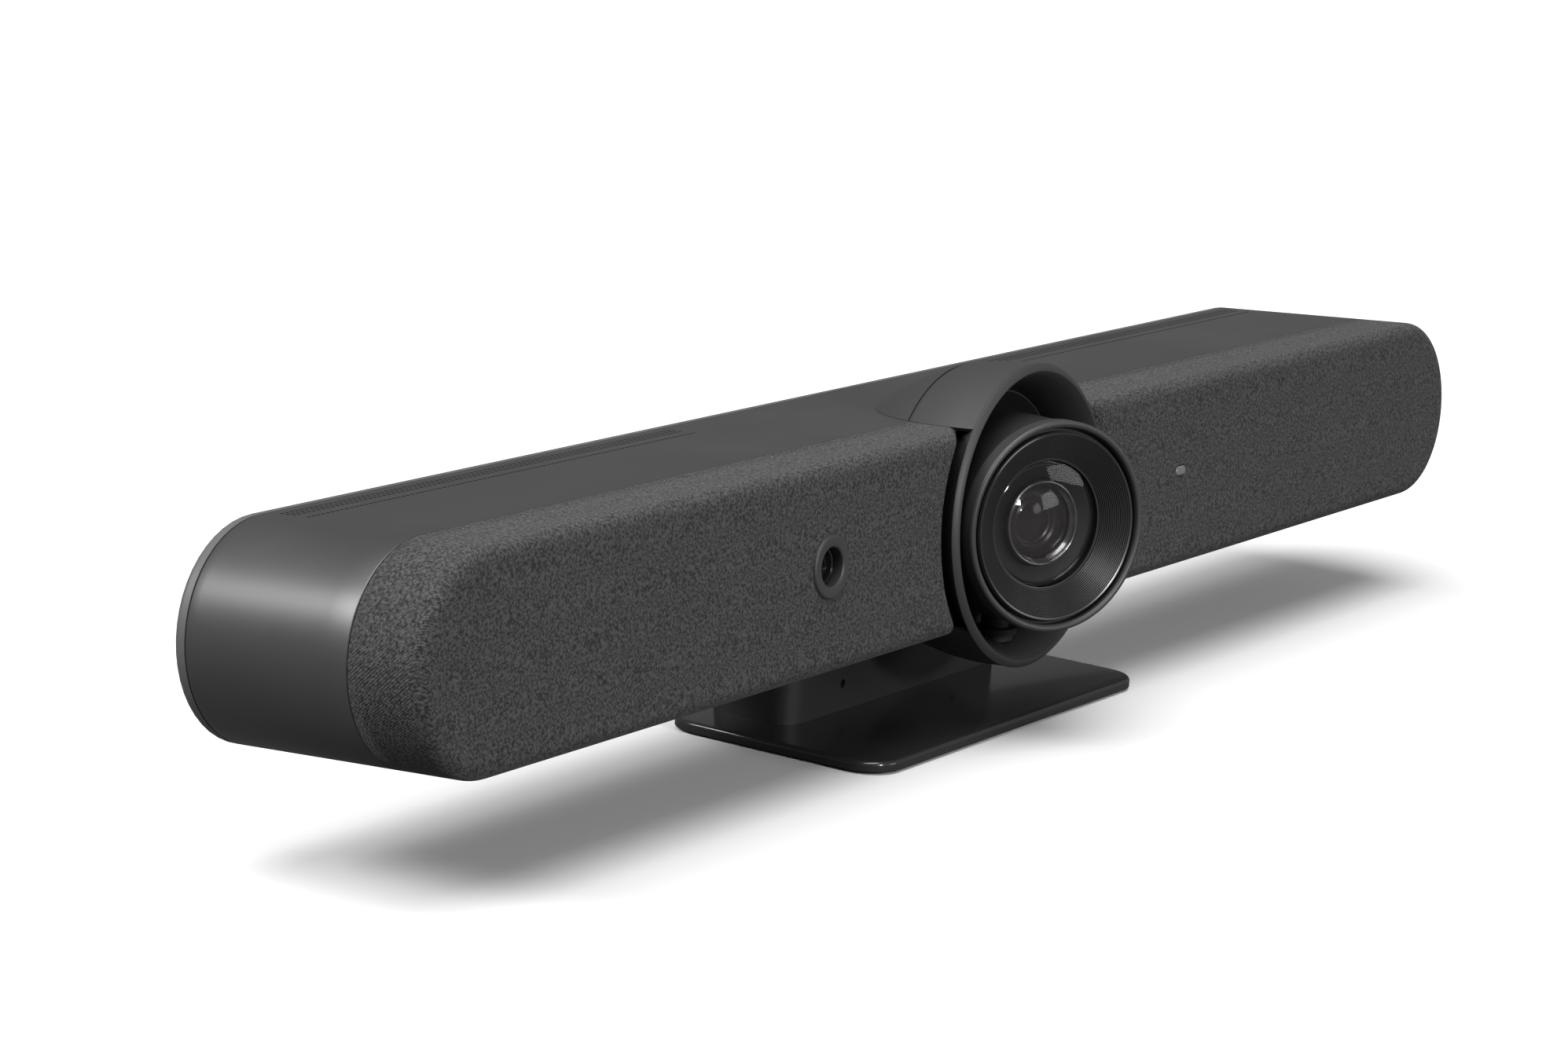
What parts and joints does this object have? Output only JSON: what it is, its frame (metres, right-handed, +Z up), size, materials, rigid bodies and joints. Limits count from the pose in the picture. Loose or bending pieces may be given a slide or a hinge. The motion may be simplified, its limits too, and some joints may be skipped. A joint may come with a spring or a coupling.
{
  "type": "conference camera",
  "caption": "Wide pill-shaped speaker bar with a fabric front and a motorised pan and tilt camera in a round arch, on a low flat table stand.",
  "frame": {"origin": "on the table top, under the middle of the stand's plate", "axes": "+X to the right seen from the front, -Y out of the fabric front, +Z up; the bar is pitched slightly up on the stand"},
  "size_m": [0.72, 0.133, 0.1351],
  "materials": {
    "housing": "satin, bead blasted",
    "cover": "satin",
    "cloth": "heathered knit",
    "inner_black": "matte",
    "matte_black": "satin",
    "head_shell": "satin",
    "stand": "semi-gloss powder coat",
    "mat": "matte",
    "gloss_black": "gloss",
    "lens_glass": "coated",
    "light": "translucent",
    "cone": "matte",
    "steel": "plated",
    "bare_metal": "machined",
    "gears": "machined",
    "board": "solder mask"
  },
  "bodies": {
    "bar": {"main_housing": "housing", "rear_cover": "cover", "vent_grille_left": "housing", "vent_grille_right": "housing", "front_baffle_left": "inner_black", "front_baffle_right": "inner_black", "grille_frame_left": "inner_black", "grille_frame_right": "inner_black", "fabric_left": "cloth", "fabric_right": "cloth", "camera_arch": "matte_black", "arch_tail": "matte_black", "camera_cup": "matte_black", "pan_base": "bare_metal", "pan_motor": "bare_metal", "speaker_basket_left": "steel", "speaker_basket_right": "steel", "speaker_cone_left": "cone", "speaker_cone_right": "cone", "speaker_magnet_left": "steel", "speaker_magnet_right": "steel", "viewfinder_ring": "matte_black", "viewfinder_barrel": "gloss_black", "viewfinder_lens": "lens_glass", "status_light": "light", "microphone_board_left": "board", "microphone_board_right": "board", "main_board": "board", "heat_sink": "bare_metal", "power_board": "board", "port_plate": "inner_black", "video_jacks": "bare_metal", "usb_jacks": "bare_metal", "network_jack": "inner_black", "power_inlet": "inner_black", "cover_screws": "matte_black", "stand_plate": "stand", "stand_neck": "inner_black", "stand_screws": "steel", "stand_mat": "mat"},
    "turret": {"pan_turret": "bare_metal", "pan_gear": "gears", "tilt_axle": "steel", "tilt_motor": "bare_metal"},
    "head": {"head_casing": "head_shell", "head_back": "head_shell", "lens_ring": "matte_black", "lens_hood": "matte_black", "window_glass": "lens_glass", "lens_carrier": "matte_black", "lens_barrel": "gloss_black", "front_lens": "lens_glass", "rear_lens": "lens_glass", "sensor_board": "board", "tilt_gear": "gears"},
    "pan_pinion": {"pan_pinion": "gears"},
    "tilt_pinion": {"tilt_pinion": "gears"},
    "pairing_button": {"pairing_button": "gloss_black"}
  },
  "joints": [
    {"name": "pan", "type": "hinge", "parent": "bar", "child": "turret", "pos_m": [0, -0.03037, 0.07911], "axis": [0, 0.0715, 0.9974], "range_deg": [-1, 49]},
    {"name": "tilt", "type": "hinge", "parent": "turret", "child": "head", "pos_m": [0, -0.03037, 0.07911], "axis": [0.9135, -0.4057, 0.0291], "range_deg": [-15, 15]},
    {"name": "pan_pinion_spin", "type": "hinge", "parent": "bar", "child": "pan_pinion", "pos_m": [0, -0.01152, 0.07776], "axis": [0, 0.0715, 0.9974], "range_deg": [-172.5, 4.5]},
    {"name": "tilt_pinion_spin", "type": "hinge", "parent": "turret", "child": "tilt_pinion", "pos_m": [0.0074, -0.01379, 0.07792], "axis": [0.9135, -0.4057, 0.0291], "range_deg": [-51, 51]},
    {"name": "pairing_press", "type": "slide", "parent": "bar", "child": "pairing_button", "axis": [0, -0.9974, 0.0715], "range_m": [0, 0.0008], "stiffness_N_per_m": 400, "springref_m": -0.001}
  ],
  "couplings": [
    {"joint": "pan_pinion_spin", "follows": "pan", "ratio": -3.5},
    {"joint": "tilt_pinion_spin", "follows": "tilt", "ratio": -3.3333}
  ]
}
